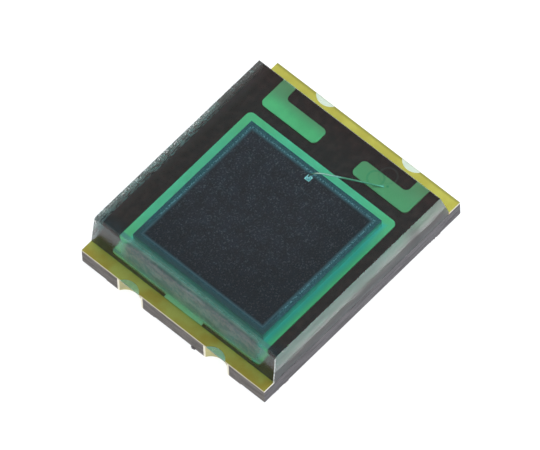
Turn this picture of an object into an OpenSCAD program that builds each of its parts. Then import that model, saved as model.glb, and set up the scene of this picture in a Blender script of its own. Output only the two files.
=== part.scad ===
// Surface-mount silicon photodiode: a chip on a small laminate board, bonded with one wire and cast in a
// tinted clear block. Millimetres, +Z up. The origin is under the middle of the board, on the plane of the
// solder lands. The cathode end points to -X and the anode end to +X; left is +Y, seen from the cathode end.

/* [Board] */
// Length of the board between its sawn ends
board_l = 5.00; // [4.90:0.05:5.60]
// Width of the board between its sawn sides
board_w = 4.24; // [4.00:0.02:4.80]
// Thickness of the laminate core
core_t = 0.33; // [0.20:0.01:0.60]
// Thickness of the plated copper tracks on the top face
track_t = 0.04; // [0.03:0.005:0.06]

/* [Half holes] */
// Drilled diameter of the holes that the ends are sawn through
hole_d = 0.66; // [0.56:0.02:0.70]
// Distance of the hole centres outside the sawn ends
hole_out = 0.15; // [0.10:0.01:0.20]
// Distance between the two holes of one end
hole_pitch = 2.00; // [1.60:0.05:2.40]
// Wall of the copper barrel in each hole
plating_t = 0.03; // [0.02:0.005:0.05]
// How far the tracks reach in over each hole
track_lip = 0.065; // [0.03:0.005:0.07]
// Thickness of the film across the opening in the track over each hole
film_t = 0.03; // [0.02:0.005:0.04]

/* [Solder lands] */
// Thickness of the lands under the board
land_t = 0.03; // [0.02:0.005:0.06]
// Length of each land from the end of the board
land_l = 1.12; // [0.70:0.02:1.40]
// Width of each land across the board
land_w = 1.12; // [0.80:0.02:1.40]
// Corner radius of the lands
land_r = 0.08; // [0.04:0.01:0.15]
// Width of the plating bar that runs from each land to the sawn side
bar_w = 0.10; // [0.06:0.01:0.20]

/* [Tracks] */
// Bare strip in front of the clear block at the cathode end
cathode_strip = 0.24; // [0.22:0.01:0.27]
// Bare strip behind the clear block at the anode end
anode_strip = 0.27; // [0.22:0.01:0.32]
// How far the strips run under the clear block
strip_lap = 0.02; // [0.01:0.005:0.04]
// Side of the square die pad
die_pad_w = 3.42; // [3.20:0.02:3.46]
// Distance of the die pad's middle from the board's middle, towards the cathode end
die_pad_back = 0.35; // [0.30:0.01:0.38]
// Width of the neck between the die pad and the cathode strip
neck_w = 0.86; // [0.40:0.02:1.20]
// Gap between the die pad and the anode fingers
finger_gap = 0.22; // [0.18:0.01:0.34]
// Width of the anode fingers
finger_w = 0.35; // [0.20:0.01:0.38]
// Gap between the tips of the two anode fingers
finger_tip_gap = 0.84; // [0.50:0.02:1.20]
// Distance across the outer sides of the two anode fingers
finger_span = 3.38; // [3.10:0.02:3.70]
// Width of the foot that joins each finger to the anode strip
foot_w = 0.28; // [0.20:0.01:0.45]
// Corner radius of the tracks
track_r = 0.10; // [0.04:0.01:0.14]

/* [Chip] */
// Side of the square chip
chip_w = 3.02; // [2.70:0.02:3.10]
// Thickness of the chip
chip_t = 0.27; // [0.18:0.01:0.33]
// Distance of the chip's middle from the die pad's middle, along the board
chip_off_x = -0.01; // [-0.05:0.01:0.05]
// Distance of the chip's middle from the die pad's middle, across the board
chip_off_y = -0.03; // [-0.05:0.01:0.05]
// Thickness of the adhesive under the chip
attach_t = 0.02; // [0.01:0.005:0.04]
// How far the adhesive stays inside the chip's edge
attach_inset = 0.05; // [0.02:0.01:0.15]
// Thickness of the coating and metal on top of the chip
layer_t = 0.006; // [0.004:0.001:0.010]
// Distance of the metal line from the chip's edge
contact_inset = 0.07; // [0.05:0.01:0.20]
// Width of the metal line around the active area
contact_line = 0.03; // [0.015:0.005:0.05]
// Side of the square bond pad
bond_pad_w = 0.11; // [0.11:0.01:0.24]
// Distance of the bond pad from the metal line
bond_pad_in = 0.05; // [0.03:0.01:0.10]
// Width of the tongue that joins the bond pad to the metal line
bond_tongue_w = 0.06; // [0.03:0.01:0.10]

/* [Bond wire] */
// Diameter of the wire
wire_d = 0.028; // [0.020:0.001:0.035]
// Diameter of the ball on the bond pad
ball_d = 0.090; // [0.070:0.005:0.110]
// Height of the ball
ball_h = 0.034; // [0.025:0.001:0.045]
// Rise of the loop above the ball
loop_rise = 0.26; // [0.08:0.01:0.28]
// Distance of the stitch from the board's middle line, to the right
stitch_side = 0.97; // [0.70:0.01:1.20]
// Distance of the stitch from the near side of the finger
stitch_in = 0.12; // [0.05:0.01:0.14]
// Length of the flattened stitch
stitch_l = 0.09; // [0.06:0.01:0.12]

/* [Clear block] */
// Height of the block above the tracks
block_h = 0.69; // [0.64:0.01:0.90]
// Lean of the cathode end of the block over its height above the tracks
cathode_draft = 0.10; // [0.02:0.01:0.25]
// Lean of the anode end of the block over its height above the tracks
anode_draft = 0.19; // [0.02:0.01:0.30]
// Lean of the long sides of the block over its height above the tracks
side_draft = 0.02; // [0.01:0.01:0.08]
// Radius of the moulded top edge at the cathode end
cathode_round = 0.06; // [0.03:0.01:0.12]
// Radius of the moulded top edge at the anode end
anode_round = 0.03; // [0.02:0.01:0.12]

/* [Hidden] */

// Facets of round shapes
$fn = 64;
// Signs of the two ends and the two sides
CATHODE = -1;
ANODE = 1;
LEFT = 1;
RIGHT = -1;
// Reach of a cutting shape past the face that it opens
CUT = 0.1;

// Colours of the pieces
LAMINATE = "#3a3638";
PLATED = "#b7b145";
BARREL = "#d8cf8a";
FILM = "#86bd8c";
ADHESIVE = "#9a9a96";
SILICON = "#3b4450";
COATING = "#2f3238";
CONTACT = "#6f8fa0";
WIRE = "#d9c36a";
CLEAR = [0.30, 0.62, 0.52, 0.35];

// Levels
core_z = land_t;
track_z = core_z + core_t;
track_top = track_z + track_t;
chip_z = track_top + attach_t;
chip_top = chip_z + chip_t;
contact_top = chip_top + layer_t;
block_top = track_top + block_h;

// Places along and across the board
end_x = board_l / 2;
side_y = board_w / 2;
opening_d = hole_d - 2 * track_lip;
die_pad_x = -die_pad_back;
die_pad_rear = die_pad_x + die_pad_w / 2;
finger_x0 = die_pad_rear + finger_gap;
finger_x1 = finger_x0 + finger_w;
finger_y0 = finger_tip_gap / 2;
finger_y1 = finger_span / 2;
foot_y0 = finger_y1 - foot_w;
chip_x = die_pad_x + chip_off_x;
chip_y = chip_off_y;
contact_w = chip_w - 2 * contact_inset;
window_w = contact_w - 2 * contact_line;
bond_x = chip_x + window_w / 2 - bond_pad_in - bond_pad_w / 2;
bond_y = chip_y;

// Route of the wire in plan, from the ball to the stitch
stitch_at = [finger_x0 + stitch_in, -stitch_side];
wire_span = norm(stitch_at - [bond_x, bond_y]);
wire_dir = (stitch_at - [bond_x, bond_y]) / wire_span;
// Sides of the wire, with a flat one underneath
WIRE_SIDES = 10;
FLAT_DROP = cos(180 / WIRE_SIDES);
// Share of the span at which the loop is highest, and how the far side falls away
CREST_AT = 0.15;
FALL_POWER = 1.15;
// Rings along the two sides of the loop
RISE_RINGS = 8;
FALL_RINGS = 14;
// Slope of the wire where it meets the finger
TOUCH_SLOPE = -20;
// Rings along the stitch, and its width and thickness at its thin end, in wire diameters
STITCH_RINGS = 3;
STITCH_WIDE = 2.2;
STITCH_THIN = 0.3;
// Outline of the ball: share of its height and of its radius
BALL_PROFILE = [[0, 0.80], [0.3, 1], [0.7, 1], [1, 0.75]];

// Rectangle between two corners, with round corners where r is above zero
module corner_rect(low, high, r = 0) {
    size = high - low;
    if (r > 0) {
        translate(low + [r, 0]) square(size - [2 * r, 0]);
        translate(low + [0, r]) square(size - [0, 2 * r]);
        for (x = [low[0] + r, high[0] - r], y = [low[1] + r, high[1] - r])
            translate([x, y]) circle(r);
    } else {
        translate(low) square(size);
    }
}

module centred_square(w, r = 0) {
    corner_rect([-w / 2, -w / 2], [w / 2, w / 2], r);
}

// Flat layer of a given height that starts at level z
module layer(z, h) {
    translate([0, 0, z]) linear_extrude(h) children();
}

// Outline of one drilled hole, at a diameter of its own
module hole_disc(end, side, d) {
    translate([end * (end_x + hole_out), side * hole_pitch / 2]) circle(d = d);
}

module holes_at(end, d) {
    for (side = [LEFT, RIGHT]) hole_disc(end, side, d);
}

module board_outline() {
    square([board_l, board_w], center = true);
}

// Strip across the whole end of the board
module end_strip(end, width) {
    translate([end * (end_x - width / 2), 0]) square([width, board_w], center = true);
}

module board_core() {
    color(LAMINATE) layer(core_z, core_t) difference() {
        board_outline();
        holes_at(CATHODE, hole_d);
        holes_at(ANODE, hole_d);
    }
}

module cathode_track() {
    color(PLATED) layer(track_z, track_t) difference() {
        union() {
            end_strip(CATHODE, cathode_strip + strip_lap);
            translate([die_pad_x, 0]) centred_square(die_pad_w, track_r);
            corner_rect([-end_x + cathode_strip, -neck_w / 2], [die_pad_x, neck_w / 2]);
        }
        holes_at(CATHODE, opening_d);
    }
}

// L-shaped finger on the left side: tip towards the middle, foot on the anode strip
module finger_outline() {
    corner_rect([finger_x0, finger_y0], [finger_x1, finger_y1], track_r);
    corner_rect([finger_x0, foot_y0], [end_x - anode_strip + track_r, finger_y1], track_r);
    // Fillet in the inner elbow
    difference() {
        corner_rect([finger_x1, foot_y0 - track_r], [finger_x1 + track_r, foot_y0]);
        translate([finger_x1 + track_r, foot_y0 - track_r]) circle(track_r);
    }
}

module anode_track() {
    color(PLATED) layer(track_z, track_t) difference() {
        union() {
            end_strip(ANODE, anode_strip + strip_lap);
            finger_outline();
            mirror([0, 1]) finger_outline();
        }
        holes_at(ANODE, opening_d);
    }
}

// Copper barrel in a half hole, from the land underneath up to the track
module hole_plating(end, side) {
    color(BARREL) layer(0, track_z) intersection() {
        board_outline();
        difference() {
            hole_disc(end, side, hole_d);
            hole_disc(end, side, hole_d - 2 * plating_t);
        }
    }
}

// Film across the opening in the track, level with its top
module hole_film(end, side) {
    color(FILM) layer(track_top - film_t, film_t) intersection() {
        board_outline();
        hole_disc(end, side, opening_d);
    }
}

// Land around one half hole, with its plating bar sawn off at the side of the board
module solder_land(end, side) {
    bar_x = end * (end_x - land_l / 2);
    land_y = side * hole_pitch / 2;
    color(PLATED) layer(0, land_t) difference() {
        intersection() {
            board_outline();
            union() {
                translate([end * end_x, land_y])
                    corner_rect([-land_l, -land_w / 2], [land_l, land_w / 2], land_r);
                translate([bar_x, (land_y + side * side_y) / 2])
                    square([bar_w, side_y - hole_pitch / 2], center = true);
            }
        }
        hole_disc(end, side, hole_d);
    }
}

module die_attach() {
    color(ADHESIVE) layer(track_top, attach_t)
        translate([chip_x, chip_y]) centred_square(chip_w - 2 * attach_inset, attach_inset);
}

module photodiode_chip() {
    color(SILICON) layer(chip_z, chip_t)
        translate([chip_x, chip_y]) centred_square(chip_w);
}

// Bond pad with the tongue that runs from it to the metal line
module bond_pad_outline() {
    translate([bond_x, bond_y]) centred_square(bond_pad_w);
    corner_rect(
        [bond_x, bond_y - bond_tongue_w / 2],
        [chip_x + window_w / 2, bond_y + bond_tongue_w / 2]
    );
}

module active_window() {
    color(COATING) layer(chip_top, layer_t) difference() {
        translate([chip_x, chip_y]) centred_square(window_w);
        bond_pad_outline();
    }
}

module anode_contact() {
    color(CONTACT) layer(chip_top, layer_t) {
        translate([chip_x, chip_y]) difference() {
            centred_square(contact_w);
            centred_square(window_w);
        }
        bond_pad_outline();
    }
}

// A station of the wire is [distance along its span, height, slope, half width, half thickness].
// The ball is squashed about the upright start of the wire.
function ball_stations() = [
    for (p = BALL_PROFILE)
        [0, contact_top + p[0] * ball_h, 90, p[1] * ball_d / 2, p[1] * ball_d / 2]
];

// The near side of the loop is a quarter ellipse
function rise_stations(z0, r) = [
    for (i = [0 : RISE_RINGS])
        let (turn = 90 * i / RISE_RINGS, run = CREST_AT * wire_span)
        [run * (1 - cos(turn)), z0 + loop_rise * sin(turn),
            atan2(loop_rise * cos(turn), run * sin(turn)), r, r]
];

// The far side of the loop falls to the stitch
function fall_stations(z0, z1, r) = [
    for (i = [1 : FALL_RINGS])
        let (u = i / FALL_RINGS, run = (1 - CREST_AT) * wire_span, drop = z0 - z1)
        [CREST_AT * wire_span + run * u, z0 - drop * pow(u, FALL_POWER),
            u < 1 ? -atan(drop * FALL_POWER * pow(u, FALL_POWER - 1) / run) : TOUCH_SLOPE, r, r]
];

// The stitch lies flat on the finger and thins out
function stitch_stations(r) = [
    for (i = [1 : STITCH_RINGS])
        let (
            u = i / STITCH_RINGS,
            thick = r * (1 - u * (1 - STITCH_THIN)),
            wide = r * (1 + u * (STITCH_WIDE - 1))
        )
        [wire_span + u * stitch_l, track_top + thick * FLAT_DROP, 0, wide, thick]
];

// One ring of points around the wire
function wire_ring(s) =
    let (
        base = [bond_x, bond_y] + s[0] * wire_dir,
        across = [-wire_dir[1], wire_dir[0], 0],
        over = [-sin(s[2]) * wire_dir[0], -sin(s[2]) * wire_dir[1], cos(s[2])]
    )
    [for (i = [0 : WIRE_SIDES - 1])
        let (a = 360 * i / WIRE_SIDES)
        [base[0], base[1], s[1]] + s[3] * cos(a) * across + s[4] * sin(a) * over];

module bond_wire() {
    r = wire_d / 2;
    ball_top = contact_top + ball_h;
    stations = concat(
        ball_stations(),
        rise_stations(ball_top, r),
        fall_stations(ball_top + loop_rise, track_top + r * FLAT_DROP, r),
        stitch_stations(r)
    );
    rings = len(stations);
    n = WIRE_SIDES;
    points = [for (s = stations) each wire_ring(s)];
    walls = [
        for (k = [0 : rings - 2], i = [0 : n - 1])
            let (j = (i + 1) % n)
            [k * n + i, k * n + j, (k + 1) * n + j, (k + 1) * n + i]
    ];
    start_cap = [for (i = [n - 1 : -1 : 0]) i];
    finish_cap = [for (i = [0 : n - 1]) (rings - 1) * n + i];
    color(WIRE) polyhedron(points, concat(walls, [start_cap, finish_cap]), convexity = 4);
}

// Sides of the block, seen from the front: full board width at the laminate, leaning in above it
module block_side_profile() {
    lean = side_draft * (block_h + track_t) / block_h;
    polygon([
        [-side_y, track_z], [side_y, track_z],
        [side_y - lean, block_top], [-side_y + lean, block_top]
    ]);
}

// Centre of the rounded top edge of one end, over the foot of its leaning face
function round_centre(end, foot_x, draft, r) = [
    foot_x - end * (draft * (block_h - r) / block_h + r / cos(atan(draft / block_h))),
    block_top - r
];

// Where the rounded edge touches the leaning face
function round_touch(end, foot_x, draft, r) =
    let (lean = atan(draft / block_h))
    round_centre(end, foot_x, draft, r) + r * [end * cos(lean), sin(lean)];

// Ends of the block, seen from the right: upright beside the tracks, leaning in above them, round on top
module block_end_profile() {
    front = -end_x + cathode_strip;
    rear = end_x - anode_strip;
    front_centre = round_centre(CATHODE, front, cathode_draft, cathode_round);
    rear_centre = round_centre(ANODE, rear, anode_draft, anode_round);
    polygon([
        [front, track_z], [rear, track_z], [rear, track_top],
        round_touch(ANODE, rear, anode_draft, anode_round), [rear_centre[0], block_top],
        [front_centre[0], block_top], round_touch(CATHODE, front, cathode_draft, cathode_round),
        [front, track_top]
    ]);
    translate(front_centre) circle(cathode_round);
    translate(rear_centre) circle(anode_round);
}

module encapsulant() {
    color(CLEAR) difference() {
        intersection() {
            rotate([90, 0, 0]) linear_extrude(board_w + 2 * CUT, center = true) block_end_profile();
            rotate([90, 0, 90]) linear_extrude(board_l + 2 * CUT, center = true) block_side_profile();
        }
        cathode_track();
        anode_track();
        die_attach();
        photodiode_chip();
        active_window();
        anode_contact();
        bond_wire();
    }
}

board_core();
cathode_track();
anode_track();
hole_plating(CATHODE, LEFT);  // cathode_hole_plating_left
hole_plating(CATHODE, RIGHT);  // cathode_hole_plating_right
hole_plating(ANODE, LEFT);  // anode_hole_plating_left
hole_plating(ANODE, RIGHT);  // anode_hole_plating_right
hole_film(CATHODE, LEFT);  // cathode_hole_film_left
hole_film(CATHODE, RIGHT);  // cathode_hole_film_right
hole_film(ANODE, LEFT);  // anode_hole_film_left
hole_film(ANODE, RIGHT);  // anode_hole_film_right
solder_land(CATHODE, LEFT);  // cathode_land_left
solder_land(CATHODE, RIGHT);  // cathode_land_right
solder_land(ANODE, LEFT);  // anode_land_left
solder_land(ANODE, RIGHT);  // anode_land_right
die_attach();
photodiode_chip();
active_window();
anode_contact();
bond_wire();
encapsulant();
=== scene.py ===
"""Looks of a surface-mount silicon photodiode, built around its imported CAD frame.

Everything is in metres, in the frame of the CAD model: +Z up out of the light-sensitive face, -X towards the
cathode end, +Y to the left seen from that end.
"""

import logging
import math
import random
from dataclasses import dataclass, replace
from enum import Enum
from functools import cached_property, reduce
from typing import Iterable, Optional, Sequence, Union

import bmesh
import bpy
from mathutils import Matrix, Vector


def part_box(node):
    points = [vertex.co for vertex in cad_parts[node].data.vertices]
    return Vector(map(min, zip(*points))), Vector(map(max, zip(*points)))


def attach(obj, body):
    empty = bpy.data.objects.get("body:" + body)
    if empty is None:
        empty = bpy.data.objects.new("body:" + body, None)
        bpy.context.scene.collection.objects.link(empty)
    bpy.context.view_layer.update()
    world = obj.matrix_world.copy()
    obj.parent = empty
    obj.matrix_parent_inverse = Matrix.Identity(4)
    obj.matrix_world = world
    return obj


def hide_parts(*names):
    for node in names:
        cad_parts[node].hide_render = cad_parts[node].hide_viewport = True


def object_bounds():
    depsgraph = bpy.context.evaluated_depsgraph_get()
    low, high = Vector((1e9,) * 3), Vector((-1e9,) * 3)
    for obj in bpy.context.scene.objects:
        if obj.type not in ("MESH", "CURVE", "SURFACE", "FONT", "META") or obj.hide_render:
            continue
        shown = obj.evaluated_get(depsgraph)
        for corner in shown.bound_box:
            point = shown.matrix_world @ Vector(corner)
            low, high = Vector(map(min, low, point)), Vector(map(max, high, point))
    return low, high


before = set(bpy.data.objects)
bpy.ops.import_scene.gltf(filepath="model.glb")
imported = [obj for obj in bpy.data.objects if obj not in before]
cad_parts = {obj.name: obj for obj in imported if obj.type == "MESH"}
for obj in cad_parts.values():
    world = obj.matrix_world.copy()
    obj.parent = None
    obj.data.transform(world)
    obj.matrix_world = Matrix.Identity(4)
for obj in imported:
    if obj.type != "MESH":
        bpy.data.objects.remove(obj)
CAD_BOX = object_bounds()

LOG = logging.getLogger("photodiode")
MM = 0.001
UM = 0.001 * MM
BODY = "root"

# A Pair holds two limits, two results or a place in plan, and a Ramp two limits and then two results.
Colour = tuple[float, float, float, float]
Point = tuple[float, float, float]
Pair = tuple[float, float]
Ramp = tuple[float, float, float, float]
Mesh = bmesh.types.BMesh
Material = bpy.types.Material
Socket = bpy.types.NodeSocket
Value = Union[float, Sequence[float], Socket]
Inputs = dict[Union[int, str], Value]


class End(Enum):
    """The two ends of the board, with their sign along X."""

    CATHODE = -1
    ANODE = 1


class Side(Enum):
    """The two long sides of the board, with their sign along Y."""

    LEFT = 1
    RIGHT = -1


class Axis(Enum):
    """The directions in plan along which a colour changes, with their place in a vector."""

    ALONG = 0
    ACROSS = 1


class Mixed(Enum):
    """What a Mix node mixes: its data type, and the ending of its sockets' identifiers."""

    NUMBER = ("FLOAT", "Float")
    COLOUR = ("RGBA", "Color")


def paint(red: float, green: float, blue: float) -> Colour:
    """Return an opaque linear colour."""
    return (red, green, blue, 1.0)


def corners(node: str) -> tuple[Vector, Vector]:
    """Return the lowest and the highest corner of a CAD node."""
    low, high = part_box(node)
    return Vector(low), Vector(high)


class Graph:
    """Short calls for adding and linking nodes in one node tree."""

    def __init__(self, tree: bpy.types.NodeTree) -> None:
        """Keep the tree that the nodes go into."""
        self.tree = tree

    @classmethod
    def emptied(cls, owner: Union[Material, bpy.types.World]) -> "Graph":
        """Take over the node tree of a material or a world.

        Args:
            owner: What the tree belongs to.

        Returns:
            Its graph, with no nodes in it.
        """
        owner.use_nodes = True
        owner.node_tree.nodes.clear()
        return cls(owner.node_tree)

    def feed(self, socket: Socket, value: Value) -> None:
        """Link a socket to another one, or set it to a plain value.

        Args:
            socket: The input to fill.
            value: An output socket, a number or a tuple.
        """
        if isinstance(value, Socket):
            self.tree.links.new(value, socket)
        else:
            socket.default_value = value

    def add(self, kind: str, inputs: Optional[Inputs] = None, **settings: object) -> bpy.types.Node:
        """Add a node.

        Args:
            kind: Blender's type name of the node.
            inputs: Values or sockets for its inputs, by name or number.
            settings: Properties of the node to set.

        Returns:
            The new node.
        """
        node = self.tree.nodes.new(kind)
        for name, value in settings.items():
            setattr(node, name, value)
        for key, value in (inputs or {}).items():
            self.feed(node.inputs[key], value)
        return node

    def calc(self, operation: str, *values: Value) -> Socket:
        """Add a Math node with its inputs in order and return its result."""
        return self.add("ShaderNodeMath", dict(enumerate(values)), operation=operation).outputs[0]

    def times(self, *values: Value) -> Socket:
        """Multiply numbers."""
        return reduce(lambda product, value: self.calc("MULTIPLY", product, value), values)

    def most(self, first: Value, second: Value) -> Socket:
        """Return the larger of two numbers."""
        return self.calc("MAXIMUM", first, second)

    def rest(self, share: Value) -> Socket:
        """Return what a share leaves of 1."""
        return self.calc("SUBTRACT", 1.0, share)

    def sway(self, base: Value, wave: Value, reach: float) -> Socket:
        """Add a multiple of a wave to a number."""
        return self.calc("MULTIPLY_ADD", wave, reach, base)

    def off(self, value: Value, middle: float) -> Socket:
        """Return how far a number is from a middle."""
        return self.calc("ABSOLUTE", self.calc("SUBTRACT", value, middle))

    def ease(self, value: Value, low: float, high: float, start: float = 0.0, stop: float = 1.0) -> Socket:
        """Map a value smoothly from one range to another, held at both ends.

        Args:
            value: The value to map.
            low: Where the result starts to leave start, which may also lie above high.
            high: Where the result reaches stop.
            start: Result at low.
            stop: Result at high.

        Returns:
            The result's socket.
        """
        values = {"Value": value, "From Min": low, "From Max": high, "To Min": start, "To Max": stop}
        return self.add("ShaderNodeMapRange", values, interpolation_type="SMOOTHSTEP", clamp=True).outputs[0]

    def fade(self, value: Value, low: float, high: float) -> Socket:
        """Return 1 below low, easing to 0 at high."""
        return self.ease(value, low, high, 1.0, 0.0)

    def mix(self, kind: Mixed, *values: Value) -> Socket:
        """Add a Mix node.

        Args:
            kind: What it mixes.
            values: The share of the second value, the first value and the second.

        Returns:
            The result's socket.
        """
        data_type, ending = kind.value
        node = self.add("ShaderNodeMix", data_type=data_type, clamp_factor=True)
        inputs = {socket.identifier: socket for socket in node.inputs}
        for name, value in zip(("Factor_Float", "A_" + ending, "B_" + ending), values):
            self.feed(inputs[name], value)
        return next(socket for socket in node.outputs if socket.identifier == "Result_" + ending)

    def blend(self, share: Value, first: Value, second: Value) -> Socket:
        """Mix two colours, 0 for the first and 1 for the second."""
        return self.mix(Mixed.COLOUR, share, first, second)

    def lerp(self, share: Value, first: Value, second: Value) -> Socket:
        """Mix two numbers, 0 for the first and 1 for the second."""
        return self.mix(Mixed.NUMBER, share, first, second)

    @cached_property
    def here(self) -> Socket:
        """Return the Object coordinates of the point that is shaded."""
        return self.add("ShaderNodeTexCoord").outputs["Object"]

    def axes(self, vector: Value) -> tuple[Socket, ...]:
        """Split a vector into its X, Y and Z sockets."""
        return tuple(self.add("ShaderNodeSeparateXYZ", {0: vector}).outputs)

    @cached_property
    def place(self) -> tuple[Socket, ...]:
        """Return the X, Y and Z of the point that is shaded."""
        return self.axes(self.here)

    def offsets(self, middle: Sequence[float]) -> tuple[Socket, ...]:
        """Return how far the point that is shaded is from a middle, along X and along Y."""
        return tuple(self.off(at, origin) for at, origin in zip(self.place[:2], middle))

    def stretch(self, vector: Value, scale: Value) -> Socket:
        """Scale a vector axis by axis."""
        return self.add("ShaderNodeVectorMath", {0: vector, 1: scale}, operation="MULTIPLY").outputs["Vector"]

    def dot(self, first: Value, second: Value) -> Socket:
        """Return the dot product of two vectors."""
        node = self.add("ShaderNodeVectorMath", {0: first, 1: second}, operation="DOT_PRODUCT")
        return node.outputs["Value"]

    def gap(self, centre: Value) -> Socket:
        """Return the distance from a centre to the point that is shaded."""
        node = self.add("ShaderNodeVectorMath", {0: self.here, 1: centre}, operation="DISTANCE")
        return node.outputs["Value"]

    def noise(self, vector: Value, scale: Value, detail: float = 3.0, rough: float = 0.5) -> Socket:
        """Add a noise texture.

        Args:
            vector: Coordinates to read it at.
            scale: How many features there are to a metre.
            detail: Octaves of finer noise.
            rough: Strength of the finer octaves.

        Returns:
            The socket of its value, about 0.5 on average.
        """
        values = {"Vector": vector, "Scale": scale, "Detail": detail, "Roughness": rough}
        return self.add("ShaderNodeTexNoise", values).outputs[0]

    def bump(self, height: Value, depth: float, share: float) -> Socket:
        """Turn a height, of which 1 stands for depth in metres, into a normal that shows a share of it."""
        return self.add("ShaderNodeBump", {"Height": height, "Distance": depth, "Strength": share}).outputs[0]

    def group(self, effect: type["EffectGroup"], scale: Optional[float] = None) -> tuple[Socket, ...]:
        """Place a shared effect, with its scale where it has one, and return its outputs."""
        values = {"Vector": self.here, "Scale": scale} if scale else {}
        return tuple(self.add("ShaderNodeGroup", values, node_tree=effect.tree()).outputs)


class EffectGroup:
    """A shader node group that several finishes share, built once."""

    name = ""
    inputs = {"Vector": "NodeSocketVector", "Scale": "NodeSocketFloat"}
    outputs: tuple[str, ...] = ()

    @classmethod
    def tree(cls) -> bpy.types.NodeTree:
        """Build the group at the first call.

        Returns:
            The group.
        """
        made = bpy.data.node_groups.get(cls.name)
        if made:
            return made
        made = bpy.data.node_groups.new(cls.name, "ShaderNodeTree")
        for name, kind in cls.inputs.items():
            made.interface.new_socket(name, in_out="INPUT", socket_type=kind)
        for name in cls.outputs:
            made.interface.new_socket(name, in_out="OUTPUT", socket_type="NodeSocketFloat")
        graph = Graph(made)
        given = graph.add("NodeGroupInput").outputs
        results = cls.wire(graph, *(given[name] for name in cls.inputs))
        graph.add("NodeGroupOutput", dict(zip(cls.outputs, results)))
        return made

    @classmethod
    def wire(cls, graph: Graph, *given: Socket) -> tuple[Socket, ...]:
        """Add the group's own nodes.

        Args:
            graph: The group's graph.
            given: Sockets of its inputs in order.

        Returns:
            A socket for each of its outputs.
        """
        raise NotImplementedError


class Facing(EffectGroup):
    """Masks of the faces that look up or down, to a side or to an end."""

    name = "facing"
    inputs: dict[str, str] = {}
    outputs = ("Flat", "Sideways", "Endways")
    straight: Pair = (0.6, 0.8)
    leaning: Pair = (0.05, 0.4)

    @classmethod
    def wire(cls, graph: Graph, *given: Socket) -> tuple[Socket, ...]:
        """Add the group's own nodes, as the base class says."""
        normal = graph.add("ShaderNodeNewGeometry").outputs["True Normal"]
        along, across, upright = (graph.calc("ABSOLUTE", part) for part in graph.axes(normal))
        flat, sideways = (graph.ease(part, *cls.straight) for part in (upright, across))
        return flat, sideways, graph.ease(along, *cls.leaning)


class Speckle(EffectGroup):
    """Scattered small bright grains, with patches that hold more of them."""

    name = "speckle"
    outputs = ("Grains", "Patches")
    patch_scale = 0.12
    patch_span: Pair = (0.3, 0.7)
    grain_span: Pair = (0.52, 0.78)
    grain_share: Pair = (0.5, 1.0)

    @classmethod
    def wire(cls, graph: Graph, *given: Socket) -> tuple[Socket, ...]:
        """Add the group's own nodes, as the base class says."""
        vector, scale = given
        fine = graph.noise(vector, scale, detail=1.0)
        broad = graph.noise(vector, graph.times(scale, cls.patch_scale))
        patches = graph.ease(broad, *cls.patch_span)
        grains = graph.times(graph.ease(fine, *cls.grain_span), graph.lerp(patches, *cls.grain_share))
        return grains, patches


class SawCut(EffectGroup):
    """Fine scratches along a sawn face, with torn grain between them."""

    name = "saw cut"
    outputs = ("Height", "Scratches", "Torn")
    along_blade: Point = (0.06, 0.06, 1.0)
    scratch_share = 0.6

    @classmethod
    def wire(cls, graph: Graph, *given: Socket) -> tuple[Socket, ...]:
        """Add the group's own nodes, as the base class says."""
        vector, scale = given
        scratches = graph.noise(graph.stretch(vector, cls.along_blade), scale, rough=0.6)
        torn = graph.noise(vector, scale, detail=4.0, rough=0.65)
        return graph.lerp(cls.scratch_share, torn, scratches), scratches, torn


class PlatingGrain(EffectGroup):
    """Nodules and faint stains of an electroplated surface."""

    name = "plating grain"
    outputs = ("Nodules", "Stains")
    stain_scale = 0.07
    stain_span: Pair = (0.3, 0.72)

    @classmethod
    def wire(cls, graph: Graph, *given: Socket) -> tuple[Socket, ...]:
        """Add the group's own nodes, as the base class says."""
        vector, scale = given
        nodules = graph.noise(vector, scale, rough=0.6)
        broad = graph.noise(vector, graph.times(scale, cls.stain_scale), detail=4.0)
        return nodules, graph.ease(broad, *cls.stain_span)


@dataclass(frozen=True)
class Imprint:
    """A faint ring that the bonding tool pressed into a track or left on the laminate."""

    centre: Point
    radius: float
    line: float
    depth: float
    core_share: float = 0.3

    def mask(self, graph: Graph) -> Socket:
        """Return how strongly the ring shows, most of all on its line."""
        off = graph.off(graph.gap(self.centre), self.radius)
        return graph.ease(off, self.core_share * self.line, self.line, self.depth, 0.0)


@dataclass(frozen=True)
class Limit:
    """How a zone eases in along an axis: where none of it shows, and where all of it does."""

    axis: Axis
    none_at: float
    full_at: float


@dataclass(frozen=True)
class Zone:
    """A stretch of a surface with a colour of its own, which may hold another zone."""

    colour: Colour
    limits: tuple[Limit, ...]
    strength: float = 1.0
    inner: Optional["Zone"] = None

    def over(self, graph: Graph, ground: Value) -> Socket:
        """Lay the zone over a colour.

        Args:
            graph: The material's graph.
            ground: The colour under the zone.

        Returns:
            The colour with the zone on it.
        """
        shares = [graph.ease(graph.place[at.axis.value], at.none_at, at.full_at) for at in self.limits]
        colour = self.inner.over(graph, self.colour) if self.inner else self.colour
        return graph.blend(graph.times(self.strength, *shares), ground, colour)


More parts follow.
